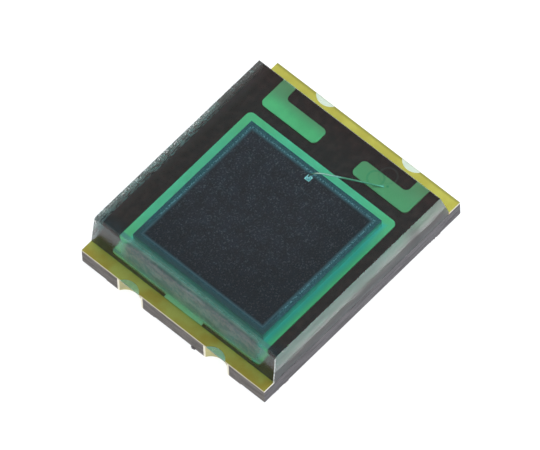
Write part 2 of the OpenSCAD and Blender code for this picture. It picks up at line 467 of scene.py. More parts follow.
@dataclass(frozen=True)
class DieShade:
    """The die pad around the chip: shaded close to the chip, yellower towards its own corners."""

    middle: Point
    half: float
    halo: float = 0.10 * MM
    beside: Colour = paint(0.46, 0.80, 0.62)
    ring_rough: float = 0.40
    corner: Colour = paint(0.90, 0.88, 0.42)
    corner_span: Pair = (0.75 * MM, 1.55 * MM)

    def near(self, graph: Graph) -> Socket:
        """Return a mask of the narrow ring around the chip."""
        reach = graph.most(*graph.offsets(self.middle))
        return graph.fade(reach, self.half, self.half + self.halo)

    def over(self, graph: Graph, ground: Value) -> Socket:
        """Lay the shade over a colour.

        Args:
            graph: The material's graph.
            ground: The colour under the shade.

        Returns:
            The shaded colour.
        """
        inner = graph.calc("MINIMUM", *graph.offsets(self.middle))
        ground = graph.blend(graph.ease(inner, *self.corner_span), ground, self.corner)
        return graph.blend(self.near(graph), ground, self.beside)


@dataclass(frozen=True)
class Finish:
    """A surface finish that makes its own procedural material.

    A field named rough is the roughness at both ends of a texture, and one named relief is the depth of its
    bump and the share of it that shows.
    """

    name: str

    def material(self) -> Material:
        """Make the material.

        Returns:
            The material with its nodes.
        """
        made = bpy.data.materials.new(self.name)
        graph = Graph.emptied(made)
        shader = graph.add("ShaderNodeBsdfPrincipled", self.sockets(graph))
        graph.add("ShaderNodeOutputMaterial", {"Surface": shader.outputs[0], **self.filling(graph)})
        return made

    def sockets(self, graph: Graph) -> Inputs:
        """Work out what goes into the shader.

        Args:
            graph: The material's graph, which gets the nodes for it.

        Returns:
            Plain values and sockets by the names of the shader's inputs.
        """
        raise NotImplementedError

    def filling(self, graph: Graph) -> Inputs:
        """Return what fills the inside by the name of its socket, which is nothing here."""
        return {}


@dataclass(frozen=True, kw_only=True)
class Laminate(Finish):
    """Black board laminate: resin-rich faces and sawn, fibrous grey walls.

    The upper face is seen through the tinted block, so it is redder than the rest.
    """

    middle: float
    shallow_at: Pair
    imprints: tuple[Imprint, ...]
    face: Colour = paint(0.185, 0.0195, 0.0180)
    face_light: Colour = paint(0.270, 0.0345, 0.0315)
    mottle_span: Pair = (0.35, 0.75)
    under: Colour = paint(0.024, 0.022, 0.022)
    shallow: Colour = paint(0.044, 0.024, 0.032)
    shallow_edge: Pair = (0.18 * MM, 0.05 * MM)
    # A lighter band along the left edge: dust, and painted light that the sawn left side lets in.
    dust_and_light_edge: Zone = Zone(
        paint(0.40, 0.075, 0.070), (Limit(Axis.ACROSS, none_at=1.94 * MM, full_at=2.20 * MM),)
    )
    scuffed: Colour = paint(0.34, 0.090, 0.080)
    # The ends are painted lighter and warmer than the long sides: painted light, as the ends take more and
    # warmer light than the right side.
    end_wall: Colour = paint(0.148, 0.137, 0.133)
    end_wall_light: Colour = paint(0.322, 0.302, 0.292)
    side_wall: Colour = paint(0.129, 0.123, 0.134)
    side_wall_light: Colour = paint(0.286, 0.274, 0.292)
    saw_span: Pair = (0.36, 0.64)
    weave_scale: float = 6000.0
    saw_scale: float = 42000.0
    wall_rough: float = 0.82
    face_rough: float = 0.50
    specular: float = 0.15
    relief: Pair = (4 * UM, 0.6)

    def upper_face(self, graph: Graph) -> Socket:
        """Work out the colour of the upper face.

        Args:
            graph: The material's graph.

        Returns:
            The colour with its mottle, the darker stretches, the lighter left edge of dust and painted light,
            and the scuffs.
        """
        mottle = graph.ease(graph.noise(graph.here, self.weave_scale, detail=5.0), *self.mottle_span)
        face = self.dust_and_light_edge.over(graph, graph.blend(mottle, self.face, self.face_light))
        in_front, beside = (
            graph.fade(place, at - edge, at + edge)
            for place, at, edge in zip(graph.place, self.shallow_at, self.shallow_edge)
        )
        face = graph.blend(graph.most(in_front, beside), face, self.shallow)
        for mark in self.imprints:
            face = graph.blend(mark.mask(graph), face, self.scuffed)
        return face

    def sockets(self, graph: Graph) -> Inputs:
        """Work out what goes into the shader, as the base class says."""
        flat, sideways, _ = graph.group(Facing)
        height, _, _ = graph.group(SawCut, self.saw_scale)
        on_top = graph.calc("GREATER_THAN", graph.place[2], self.middle)
        face = graph.blend(on_top, self.under, self.upper_face(graph))
        tone = graph.ease(height, *self.saw_span)
        ends = graph.blend(tone, self.end_wall, self.end_wall_light)
        sides = graph.blend(tone, self.side_wall, self.side_wall_light)
        return {
            "Base Color": graph.blend(flat, graph.blend(sideways, ends, sides), face),
            "Roughness": graph.lerp(flat, self.wall_rough, self.face_rough),
            "Specular IOR Level": self.specular,
            "Normal": graph.bump(height, *self.relief),
        }


@dataclass(frozen=True, kw_only=True)
class Plating(Finish):
    """Electroplated metal with a fine grain."""

    grain_scale: float = 40000.0
    rough: Pair = (0.38, 0.60)
    relief: Pair = (2 * UM, 0.5)

    def colour(self, graph: Graph, nodules: Socket, stains: Socket) -> Socket:
        """Work out the colour of the metal.

        Args:
            graph: The material's graph.
            nodules: The height of its grain.
            stains: A mask of its brighter patches.

        Returns:
            The colour's socket.
        """
        raise NotImplementedError

    def sockets(self, graph: Graph) -> Inputs:
        """Work out what goes into the shader, as the base class says."""
        nodules, stains = graph.group(PlatingGrain, self.grain_scale)
        return {
            "Base Color": self.colour(graph, nodules, stains),
            "Metallic": 1.0,
            "Roughness": graph.lerp(nodules, *self.rough),
            "Normal": graph.bump(nodules, *self.relief),
        }


@dataclass(frozen=True, kw_only=True)
class PlatedTrack(Plating):
    """Gold-plated copper track, dull and worn where it lies bare outside the block."""

    covered_span: Pair
    zones: tuple[Zone, ...]
    die: Optional[DieShade] = None
    imprints: tuple[Imprint, ...] = ()
    covered: Colour = paint(0.94, 1.00, 0.60)
    covered_dim: Colour = paint(0.84, 0.93, 0.53)
    pressed: Colour = paint(0.40, 0.44, 0.20)
    cover_edge: float = 0.01 * MM
    # These bare colours, which the cathode keeps, are darker than the anode's: painted shade, as the block
    # shades the bare strip in front of it.
    bare: Colour = paint(0.42, 0.45, 0.115)
    bare_dim: Colour = paint(0.39, 0.33, 0.064)
    side_cut: Colour = paint(0.90, 0.88, 0.80)
    end_cut: Colour = paint(0.60, 0.56, 0.42)
    worn: Colour = paint(0.36, 0.35, 0.09)
    worn_span: Pair = (2.455 * MM, 2.515 * MM)
    worn_jag: float = 0.04 * MM
    grain_scale: float = 45000.0
    rough: Pair = (0.48, 0.66)

    def colour(self, graph: Graph, nodules: Socket, stains: Socket) -> Socket:
        """Work out the colour of the metal, as the base class says."""
        covered = graph.blend(stains, self.covered_dim, self.covered)
        if self.die:
            covered = self.die.over(graph, covered)
        for zone in self.zones:
            covered = zone.over(graph, covered)
        for mark in self.imprints:
            covered = graph.blend(mark.mask(graph), covered, self.pressed)
        along = graph.place[0]
        bare = graph.blend(stains, self.bare_dim, self.bare)
        worn = graph.ease(graph.sway(along, nodules, self.worn_jag), *self.worn_span)
        flat, sideways, _ = graph.group(Facing)
        cut = graph.blend(sideways, self.end_cut, self.side_cut)
        outer = graph.blend(flat, cut, graph.blend(worn, bare, self.worn))
        front, rear = self.covered_span
        before = graph.fade(along, front - self.cover_edge, front + self.cover_edge)
        behind = graph.ease(along, rear - self.cover_edge, rear + self.cover_edge)
        return graph.blend(graph.most(before, behind), covered, outer)

    def sockets(self, graph: Graph) -> Inputs:
        """Work out what goes into the shader, as the base class says."""
        filled = super().sockets(graph)
        if self.die:
            filled["Roughness"] = graph.lerp(self.die.near(graph), filled["Roughness"], self.die.ring_rough)
        return filled


@dataclass(frozen=True, kw_only=True)
class HoleBarrel(Plating):
    """Plated wall of a half hole: yellow inside, torn pale metal where the saw cut it."""

    cut_span: Pair
    inside: Colour = paint(0.66, 0.61, 0.27)
    inside_dim: Colour = paint(0.44, 0.42, 0.24)
    cut: Colour = paint(0.86, 0.81, 0.68)
    rough: Pair = (0.35, 0.60)
    relief: Pair = (3 * UM, 0.6)

    def colour(self, graph: Graph, nodules: Socket, stains: Socket) -> Socket:
        """Work out the colour of the metal, as the base class says."""
        inside = graph.blend(stains, self.inside_dim, self.inside)
        reach = graph.calc("ABSOLUTE", graph.place[0])
        return graph.blend(graph.ease(reach, *self.cut_span), inside, self.cut)


@dataclass(frozen=True, kw_only=True)
class SolderLand(Plating):
    """Satin gold on the soldering faces, dull nickel and copper on the sawn edges."""

    face: Colour = paint(0.80, 0.66, 0.28)
    face_dim: Colour = paint(0.62, 0.50, 0.20)
    cut: Colour = paint(0.30, 0.28, 0.29)

    def colour(self, graph: Graph, nodules: Socket, stains: Socket) -> Socket:
        """Work out the colour of the metal, as the base class says."""
        flat, _, _ = graph.group(Facing)
        return graph.blend(flat, self.cut, graph.blend(stains, self.face_dim, self.face))


@dataclass(frozen=True, kw_only=True)
class HoleFilm(Finish):
    """Thin translucent green film, uneven in thickness."""

    thin: Colour = paint(0.72, 0.82, 0.72)
    thick: Colour = paint(0.64, 0.77, 0.65)
    thick_span: Pair = (0.3, 0.7)
    scale: float = 9000.0
    clarity: float = 0.9
    index: float = 1.5
    rough: Pair = (0.20, 0.40)
    relief: Pair = (8 * UM, 0.5)

    def sockets(self, graph: Graph) -> Inputs:
        """Work out what goes into the shader, as the base class says."""
        cloud = graph.noise(graph.here, self.scale)
        return {
            "Base Color": graph.blend(graph.ease(cloud, *self.thick_span), self.thin, self.thick),
            "Transmission Weight": self.clarity,
            "IOR": self.index,
            "Roughness": graph.lerp(cloud, *self.rough),
            "Normal": graph.bump(cloud, *self.relief),
        }


@dataclass(frozen=True, kw_only=True)
class Adhesive(Finish):
    """Silver-filled adhesive, grey with bright flakes."""

    paste: Colour = paint(0.26, 0.26, 0.25)
    flake: Colour = paint(0.62, 0.62, 0.60)
    scale: float = 60000.0
    rough: Pair = (0.60, 0.30)
    relief: Pair = (2 * UM, 0.5)

    def sockets(self, graph: Graph) -> Inputs:
        """Work out what goes into the shader, as the base class says."""
        flakes, _ = graph.group(Speckle, self.scale)
        return {
            "Base Color": graph.blend(flakes, self.paste, self.flake),
            "Metallic": flakes,
            "Roughness": graph.lerp(flakes, *self.rough),
            "Normal": graph.bump(flakes, *self.relief),
        }


@dataclass(frozen=True, kw_only=True)
class Silicon(Finish):
    """Sawn silicon walls that mirror the tracks, painted teal at the foot and dark at the brow as painted
    reflection and shade, and a dark blue oxide rim on top with painted shade at the front.
    """

    wall_span: Pair
    wall_jag: float = 0.05 * MM
    # The walls are painted teal at the foot and dark at the brow: painted reflection of the green-lit track
    # at the foot, and painted shade towards the top.
    foot: Colour = paint(0.20, 0.42, 0.42)
    brow: Colour = paint(0.04, 0.13, 0.17)
    rim: Colour = paint(0.030, 0.075, 0.105)
    rim_light: Colour = paint(0.105, 0.185, 0.225)
    rim_span: Pair = (0.4, 0.7)
    # Painted shade towards the front of the chip.
    front_shade: Zone = Zone(
        paint(0.040, 0.056, 0.066), (Limit(Axis.ALONG, none_at=-1.45 * MM, full_at=-1.70 * MM),),
        strength=0.8
    )
    scale: float = 50000.0
    rough: Pair = (0.24, 0.40)
    relief: Pair = (1 * UM, 0.4)

    def sockets(self, graph: Graph) -> Inputs:
        """Work out what goes into the shader, as the base class says."""
        flat, _, _ = graph.group(Facing)
        _, scratches, torn = graph.group(SawCut, self.scale)
        level = graph.sway(graph.place[2], scratches, self.wall_jag)
        wall = graph.blend(graph.ease(level, *self.wall_span), self.foot, self.brow)
        rim = graph.blend(graph.ease(torn, *self.rim_span), self.rim, self.rim_light)
        return {
            "Base Color": graph.blend(flat, wall, self.front_shade.over(graph, rim)),
            "Metallic": graph.rest(flat),
            "Roughness": graph.lerp(scratches, *self.rough),
            "Normal": graph.bump(scratches, *self.relief),
        }


@dataclass(frozen=True, kw_only=True)
class WindowCoating(Finish):
    """Near-black anti-reflection coating with a fine bright grain, and painted shade that darkens it away
    from one lit place, where the grain shows best.
    """

    middle: Point
    half: float
    edge: float = 0.06 * MM
    # Painted shade: the coating darkens, and its grain shows less, further from this lit place.
    lit_off: Point = (0.6 * MM, 0.5 * MM, 0.0)
    lit_span: Pair = (0.9 * MM, 2.2 * MM)
    dark: Colour = paint(0.066, 0.0245, 0.0355)
    cloudy: Colour = paint(0.086, 0.0340, 0.0525)
    grain: Colour = paint(0.26, 0.145, 0.165)
    grain_shows: Pair = (1.1, 0.5)
    shaded: Colour = paint(0.004, 0.009, 0.018)
    shade: float = 0.68
    glow: Colour = paint(0.17, 0.17, 0.21)
    scale: float = 34000.0
    rough: Pair = (0.50, 0.70)
    index: float = 1.2

    def sockets(self, graph: Graph) -> Inputs:
        """Work out what goes into the shader, as the base class says."""
        grains, patches = graph.group(Speckle, self.scale)
        away = graph.gap(Vector(self.middle) + Vector(self.lit_off))
        ground = graph.blend(patches, self.dark, self.cloudy)
        ground = graph.blend(graph.ease(away, *self.lit_span, 0.0, self.shade), ground, self.shaded)
        visible = graph.times(grains, graph.ease(away, *self.lit_span, *self.grain_shows))
        ground = graph.blend(visible, ground, self.grain)
        reach = graph.most(*graph.offsets(self.middle))
        return {
            "Base Color": graph.blend(graph.ease(reach, self.half - self.edge, self.half), ground, self.glow),
            "Roughness": graph.lerp(grains, *self.rough),
            "IOR": self.index,
        }


@dataclass(frozen=True, kw_only=True)
class ChipMetal(Finish):
    """Evaporated aluminium: a bright bond pad and a thin, worn line around the window, with painted shade at
    the front.
    """

    pad: Pair
    pad_half: float
    pad_margin: float = 0.002 * MM
    bright: Colour = paint(0.99, 1.0, 1.0)
    pad_rough: float = 0.30
    line: Colour = paint(0.08, 0.11, 0.14)
    line_light: Colour = paint(0.46, 0.54, 0.60)
    line_rough: Pair = (0.45, 0.60)
    worn_span: Pair = (0.42, 0.64)
    # Painted shade towards the front of the chip.
    front_shade: Zone = Zone(
        paint(0.06, 0.09, 0.12), (Limit(Axis.ALONG, none_at=-1.20 * MM, full_at=-1.45 * MM),), strength=0.8
    )
    scale: float = 40000.0

    def sockets(self, graph: Graph) -> Inputs:
        """Work out what goes into the shader, as the base class says."""
        reach = graph.most(*graph.offsets(self.pad))
        on_pad = graph.calc("LESS_THAN", reach, self.pad_half + self.pad_margin)
        worn = graph.ease(graph.noise(graph.here, self.scale), *self.worn_span)
        line = self.front_shade.over(graph, graph.blend(worn, self.line, self.line_light))
        return {
            "Base Color": graph.blend(on_pad, line, self.bright),
            "Metallic": 1.0,
            "Roughness": graph.lerp(on_pad, graph.lerp(worn, *self.line_rough), self.pad_rough),
        }


@dataclass(frozen=True, kw_only=True)
class GoldWire(Finish):
    """Bright drawn gold, whitened at the ball, with a painted highlight of pale matt cream behind the crest
    of the loop.
    """

    ball_at: Point
    ball_span: Pair
    highlight_at: Point
    highlight_span: Pair = (0.21 * MM, 0.28 * MM)
    bright: Colour = paint(0.72, 0.62, 0.40)
    dim: Colour = paint(0.60, 0.50, 0.31)
    # Painted highlight: pale matt cream in place of the gold behind the crest, where the wire shines.
    highlight_cream: Colour = paint(1.00, 0.96, 0.80)
    # The ball is painted near white, paler than the wire's gold.
    ball: Colour = paint(0.90, 0.95, 0.98)
    scale: float = 60000.0
    rough: Pair = (0.24, 0.34)
    ball_rough: float = 0.34
    coat_index: float = 2.2
    coat_rough: float = 0.25

    def sockets(self, graph: Graph) -> Inputs:
        """Work out what goes into the shader, as the base class says."""
        drawn = graph.noise(graph.here, self.scale, detail=2.0)
        whitened = graph.fade(graph.gap(self.ball_at), *self.ball_span)
        # Painted highlight behind the crest of the loop.
        highlight = graph.fade(graph.gap(self.highlight_at), *self.highlight_span)
        gold = graph.blend(highlight, graph.blend(drawn, self.dim, self.bright), self.highlight_cream)
        return {
            "Base Color": graph.blend(whitened, gold, self.ball),
            "Metallic": graph.rest(highlight),
            "Roughness": graph.lerp(whitened, graph.lerp(drawn, *self.rough), self.ball_rough),
            "Coat Weight": highlight,
            "Coat IOR": self.coat_index,
            "Coat Roughness": self.coat_rough,
        }


@dataclass(frozen=True, kw_only=True)
class TintedBlock(Finish):
    """Blue-green clear epoxy: smooth top, hazy streaked front and matt sawn long sides.

    The haze lies on the front end and on the rim of the top behind it. The sawn sides shine in a band with
    a jagged lower edge, less at the gap between the tracks, and the left rim of the top is torn.
    """

    haze_span: Pair
    haze_rise: Pair
    haze_middle: float
    band_from: float
    rim_span: Pair
    gap_at: float
    index: float = 1.53
    tint: Colour = paint(0.0, 0.857, 0.879)
    density: float = 1400.0
    clear: Colour = paint(1.0, 1.0, 1.0)
    cloudy: Colour = paint(0.52, 0.74, 0.77)
    cloudy_span: Pair = (0.42, 0.58)
    haze_sides: Ramp = (1.40 * MM, 1.68 * MM, 1.0, 0.25)
    haze_on_top: float = 0.85
    haze_gloss: Ramp = (0.43, 0.57, 0.1085, 0.496)
    crease_gloss: float = 1.6
    rim_gloss: Ramp = (0.35, 0.65, 0.36, 0.90)
    band_edge: float = 0.045 * MM
    band_jag: float = 0.26 * MM
    band_fade: float = 0.30 * MM
    below_band: float = 0.31
    band_gloss: Pair = (1.0, 0.70)
    torn_gloss: Ramp = (0.30, 0.60, 0.80, 1.00)
    smear_gloss: Ramp = (0.40, 0.60, 0.74, 1.10)
    gap_gloss: Ramp = (0.05 * MM, 0.17 * MM, 0.70, 1.00)
    coat_index: float = 2.25
    coat_rough: float = 0.35
    top_rough: float = 0.03
    end_rough: float = 0.12
    haze_rough: Pair = (0.27, 0.63)
    side_rough: Pair = (0.385, 0.715)
    patch_span: Pair = (0.42, 0.58)
    smooth_rear: Ramp = (0.2 * MM, 1.6 * MM, 0.0, 1.3)
    smoothing: float = 0.6
    saw_scale: float = 40000.0
    streak_scale: float = 11000.0
    streak_stretch: Point = (1.0, 0.35, 1.0)
    mottle_scale: float = 17000.0
    mottle_share: float = 0.45
    smear_scale: float = 13000.0
    smear_stretch: Point = (0.14, 1.0, 1.0)
    patch_scale: float = 8000.0
    relief: Pair = (3 * UM, 0.5)

    def streaks(self, graph: Graph) -> Socket:
        """Return the streaks and mottle of the moulded ends."""
        streaks = graph.noise(graph.stretch(graph.here, self.streak_stretch), self.streak_scale, detail=4.0)
        return graph.lerp(self.mottle_share, streaks, graph.noise(graph.here, self.mottle_scale))

    def haze(self, graph: Graph, endways: Socket) -> tuple[Socket, Socket]:
        """Work out where the block is hazy.

        Args:
            graph: The material's graph.
            endways: A mask of the ends.

        Returns:
            A mask of the front stretch in plan, and one of the haze in it.
        """
        along, across, height = graph.place
        inward = graph.ease(graph.off(across, self.haze_middle), *self.haze_sides)
        in_front = graph.times(graph.ease(along, *self.haze_span), inward)
        risen = graph.ease(height, *self.haze_rise)
        face_share = graph.most(graph.times(endways, risen), self.haze_on_top)
        return in_front, graph.times(in_front, face_share, risen)

    def sawn_rough(self, graph: Graph, torn: Socket) -> Socket:
        """Work out the roughness of the sawn sides.

        Args:
            graph: The material's graph.
            torn: The torn grain of the saw cut.

        Returns:
            The roughness, lower in patches and towards the rear of the left side.
        """
        along, across, _ = graph.place
        patches = graph.ease(graph.noise(graph.here, self.patch_scale), *self.patch_span)
        smooth = graph.most(patches, graph.ease(along, *self.smooth_rear))
        smooth = graph.times(graph.calc("GREATER_THAN", across, 0.0), smooth)
        return graph.times(graph.lerp(torn, *self.side_rough), graph.sway(1.0, smooth, -self.smoothing))

    def sawn_gloss(self, graph: Graph, torn: Socket) -> Socket:
        """Work out the gloss of the sawn sides.

        Args:
            graph: The material's graph.
            torn: The torn grain of the saw cut.

        Returns:
            The weight of the coat there.
        """
        along, _, height = graph.place
        smears = graph.noise(graph.stretch(graph.here, self.smear_stretch), self.smear_scale, detail=4.0)
        level = self.band_from + self.band_jag / 2
        jagged = graph.sway(height, smears, self.band_jag)
        in_band = graph.ease(jagged, level - self.band_edge, level + self.band_edge)
        higher = graph.ease(height, self.band_from + self.band_edge, self.band_from + self.band_fade)
        gloss = graph.lerp(in_band, self.below_band, graph.lerp(higher, *self.band_gloss))
        return graph.times(
            gloss, graph.ease(torn, *self.torn_gloss), graph.ease(smears, *self.smear_gloss),
            graph.ease(graph.off(along, self.gap_at), *self.gap_gloss)
        )

    def sockets(self, graph: Graph) -> Inputs:
        """Work out what goes into the shader, as the base class says."""
        _, sideways, endways = graph.group(Facing)
        height, _, torn = graph.group(SawCut, self.saw_scale)
        streaks = self.streaks(graph)
        in_front, hazy = self.haze(graph, endways)
        rough = graph.lerp(endways, self.top_rough, self.end_rough)
        rough = graph.lerp(hazy, rough, graph.lerp(streaks, *self.haze_rough))
        crease = graph.times(endways, graph.rest(endways))
        gloss = graph.sway(graph.ease(streaks, *self.haze_gloss), crease, self.crease_gloss)
        rim = graph.times(graph.ease(graph.place[1], *self.rim_span), graph.ease(torn, *self.rim_gloss))
        moulded = graph.most(graph.times(hazy, gloss), rim)
        on_ends = graph.times(streaks, graph.most(endways, in_front))
        spots = graph.times(hazy, graph.fade(streaks, *self.cloudy_span))
        return {
            "Base Color": graph.blend(spots, self.clear, self.cloudy),
            "Transmission Weight": 1.0,
            "IOR": self.index,
            "Roughness": graph.lerp(sideways, rough, self.sawn_rough(graph, torn)),
            "Normal": graph.bump(graph.calc("ADD", on_ends, graph.times(height, sideways)), *self.relief),
            "Coat Weight": graph.lerp(sideways, moulded, self.sawn_gloss(graph, torn)),
            "Coat Roughness": self.coat_rough,
            "Coat IOR": self.coat_index,
        }

    def filling(self, graph: Graph) -> Inputs:
        """Return the tint that soaks up light on its way through."""
        soak = graph.add("ShaderNodeVolumeAbsorption", {"Color": self.tint, "Density": self.density})
        return {"Volume": soak.outputs[0]}


@dataclass(frozen=True, kw_only=True)
class TornCrumb(Finish):
    """Matt crumbs that the saw tore out, white where they are epoxy."""

    light: Colour = paint(0.84, 0.86, 0.86)
    dark: Colour = paint(0.48, 0.52, 0.52)
    light_span: Pair = (0.35, 0.6)
    scale: float = 90000.0
    rough: Pair = (0.50, 0.80)

    def sockets(self, graph: Graph) -> Inputs:
        """Work out what goes into the shader, as the base class says."""
        cloud = graph.noise(graph.here, self.scale)
        return {
            "Base Color": graph.blend(graph.ease(cloud, *self.light_span), self.dark, self.light),
            "Roughness": graph.lerp(cloud, *self.rough),
        }


def add_object(name: str, data: bpy.types.ID) -> bpy.types.Object:
    """Add an object to the scene.

    Args:
        name: Its name.
        data: Its mesh, lamp or camera.

    Returns:
        The object, at the origin.
    """
    made = bpy.data.objects.new(name, data)
    bpy.context.scene.collection.objects.link(made)
    return made


def mesh_object(mesh: Mesh, name: str, material: Material) -> bpy.types.Object:
    """Turn a bmesh into an object.

    Args:
        mesh: The shape, freed here.
        name: Name of the object.
        material: Its material.

    Returns:
        The object, at the origin.
    """
    data = bpy.data.meshes.new(name)
    mesh.to_mesh(data)
    mesh.free()
    data.materials.append(material)
    return add_object(name, data)


def finished_piece(mesh: Mesh, name: str, material: Material) -> bpy.types.Object:
    """Turn a bmesh into a piece that rides on the part.

    Args:
        mesh: The shape, freed here.
        name: Name of the piece.
        material: Its material.

    Returns:
        The new object, at the origin.
    """
    piece = mesh_object(mesh, name, material)
    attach(piece, BODY)
    LOG.info("piece %s: %d faces", name, len(piece.data.polygons))
    return piece


def dress_node(name: str, material: Material) -> None:
    """Give a CAD node its finished material.

    Args:
        name: Name of the node.
        material: The material for all its slots.
    """
    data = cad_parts[name].data
    data.materials.clear()
    data.materials.append(material)
    LOG.info("node %s: %s", name, material.name)


def bearing(azimuth_deg: float, elevation_deg: float) -> Vector:
    """Return the direction in which the camera or a lamp stands.

    Args:
        azimuth_deg: Turn from -Y towards +X.
        elevation_deg: Height above the horizon.

    Returns:
        A unit vector.
    """
    turn, tilt = math.radians(azimuth_deg), math.radians(elevation_deg)
    return Vector((math.sin(turn) * math.cos(tilt), -math.cos(turn) * math.cos(tilt), math.sin(tilt)))


@dataclass(frozen=True)
class PhotoCamera:
    """The photograph's camera, found from the straight edges of the board and the block."""

    azimuth_deg: float = -44.94
    elevation_deg: float = 59.5
    roll_deg: float = -3.168
    distance: float = 253.07 * MM
    pixels_per_metre: float = 58.263 / MM
    target: Point = (0.0, 0.0, 0.59 * MM)
    target_px: Pair = (270.60, 220.53)
    image_px: tuple[int, int] = (540, 450)
    sensor: float = 36.0
    clip_share: float = 0.01

    def place(self) -> None:
        """Add the camera to the scene and look through it."""
        turn, roll = math.radians(self.azimuth_deg), math.radians(self.roll_deg)
        back = bearing(self.azimuth_deg, self.elevation_deg)
        level = Vector((math.cos(turn), math.sin(turn), 0.0))
        rise = back.cross(level)
        right = math.cos(roll) * level + math.sin(roll) * rise
        up = math.cos(roll) * rise - math.sin(roll) * level
        off_right, off_down = (
            (at - size / 2) / self.pixels_per_metre for at, size in zip(self.target_px, self.image_px)
        )
        spot = Vector(self.target) - right * off_right + up * off_down + back * self.distance
        data = bpy.data.cameras.new("photo_camera")
        data.sensor_width = self.sensor
        data.lens = self.sensor * self.pixels_per_metre * self.distance / self.image_px[0]
        data.clip_start = self.clip_share * self.distance
        camera = add_object("photo_camera", data)
        camera.matrix_world = Matrix.Translation(spot) @ Matrix((right, up, back)).transposed().to_4x4()
        bpy.context.scene.camera = camera


@dataclass(frozen=True)
class Softbox:
    """A square lamp that looks at the object."""

    azimuth_deg: float = 45.0
    elevation_deg: float = 46.0
    distance: float = 18 * MM
    width: float = 10 * MM
    radiance: float = 2.4
    colour: Point = (0.88, 0.95, 1.0)

    def place(self, aim: Vector) -> None:
        """Add the lamp to the scene.

        Args:
            aim: The point that it looks at.
        """
        away = bearing(self.azimuth_deg, self.elevation_deg)
        data = bpy.data.lights.new("right_softbox", "AREA")
        data.shape = "SQUARE"
        data.size = self.width
        data.energy = self.radiance * math.pi * self.width ** 2
        data.color = self.colour
        lamp = add_object("right_softbox", data)
        lamp.location = aim + away * self.distance
        lamp.rotation_euler = away.to_track_quat("Z", "Y").to_euler()


@dataclass(frozen=True)
class Studio:
    """A white sweep under a pale sky with a dimmer round patch where the block's top mirrors it."""

    floor_width: float = 0.6
    floor_drop: float = 2 * UM
    floor_paint: Colour = paint(0.42, 0.42, 0.42)
    floor_tint: Colour = paint(0.965, 0.985, 1.00)
    floor_glow: float = 0.80
    sky: Colour = paint(0.96, 0.96, 0.96)
    patch: Colour = paint(0.45, 0.41, 0.40)
    patch_towards: Point = (0.3585, 0.3593, 0.8616)
    patch_inner_deg: float = 5.0
    patch_outer_deg: float = 10.0
    softbox: Softbox = Softbox()

    def build(self) -> None:
        """Add the sky, the floor and the lamp."""
        self.build_sky()
        self.build_floor()
        low, high = (Vector(corner) for corner in CAD_BOX)
        self.softbox.place(aim=(low + high) / 2)

    def build_sky(self) -> None:
        """Make the world's pale sky with its patch."""
        world = bpy.data.worlds.new("studio_sky")
        graph = Graph.emptied(world)
        towards = graph.add("ShaderNodeTexCoord").outputs["Generated"]
        outer, inner = (math.cos(math.radians(a)) for a in (self.patch_outer_deg, self.patch_inner_deg))
        inside = graph.ease(graph.dot(towards, self.patch_towards), outer, inner)
        sky = graph.add("ShaderNodeBackground", {"Color": graph.blend(inside, self.sky, self.patch)})
        graph.add("ShaderNodeOutputWorld", {"Surface": sky.outputs[0]})
        bpy.context.scene.world = world

    def build_floor(self) -> None:
        """Make the white floor."""
        mesh = bmesh.new()
        bmesh.ops.create_grid(mesh, x_segments=1, y_segments=1, size=self.floor_width / 2)
        bmesh.ops.translate(mesh, verts=mesh.verts, vec=(0.0, 0.0, CAD_BOX[0][2] - self.floor_drop))
        floor = mesh_object(mesh, "floor", self.floor_material())

    def floor_material(self) -> Material:
        """Make the floor's material.

        Returns:
            A material that glows for the camera, mirrors and glass, and keeps the shadow.
        """
        made = bpy.data.materials.new("white_sweep")
        graph = Graph.emptied(made)
        rays = graph.add("ShaderNodeLightPath").outputs
        seen = graph.most(rays["Is Camera Ray"], rays["Is Glossy Ray"])
        seen = graph.most(seen, rays["Is Transmission Ray"])
        strength = graph.times(seen, self.floor_glow)
        paper = graph.add("ShaderNodeBsdfDiffuse", {"Color": self.floor_paint})
        glow = graph.add("ShaderNodeEmission", {"Color": self.floor_tint, "Strength": strength})
        both = graph.add("ShaderNodeAddShader", {0: paper.outputs[0], 1: glow.outputs[0]})
        graph.add("ShaderNodeOutputMaterial", {"Surface": both.outputs[0]})
        return made


@dataclass(frozen=True)
class CrumbRun:
    """A stretch along which crumbs lie, how far they stray from it, and their smallest and largest radius."""

    start: Point
    stop: Point
    stray: Point
    count: int
    sizes: Pair


